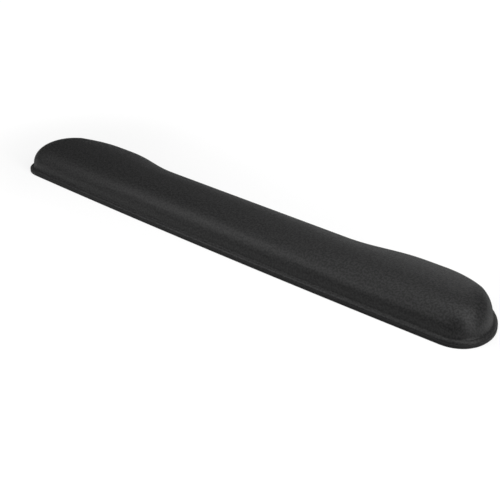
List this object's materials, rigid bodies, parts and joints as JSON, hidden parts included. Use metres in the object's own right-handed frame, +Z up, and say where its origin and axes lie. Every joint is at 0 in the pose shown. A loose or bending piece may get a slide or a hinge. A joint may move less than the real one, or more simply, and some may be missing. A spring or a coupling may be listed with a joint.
{
  "type": "wrist rest",
  "caption": "Long padded keyboard wrist rest with a crowned knit-covered foam pad, rounded ends, a drawn-in middle on the user side and a flat non-slip rubber base.",
  "frame": {"origin": "on the table, under the middle of the outline's bounding box", "axes": "+X along the length, +Y towards the user's edge, -Y towards the keyboard, +Z up"},
  "size_m": [0.48, 0.077, 0.025],
  "materials": {
    "black_knit": "matt stretch knit",
    "grey_foam": "open-cell foam",
    "hot_melt_glue": "waxy film",
    "black_rubber": "matt, non-slip"
  },
  "bodies": {
    "root": {"fabric_cover": "black_knit", "foam_core": "grey_foam", "bond_film": "hot_melt_glue", "base_mat": "black_rubber"}
  },
  "joints": []
}
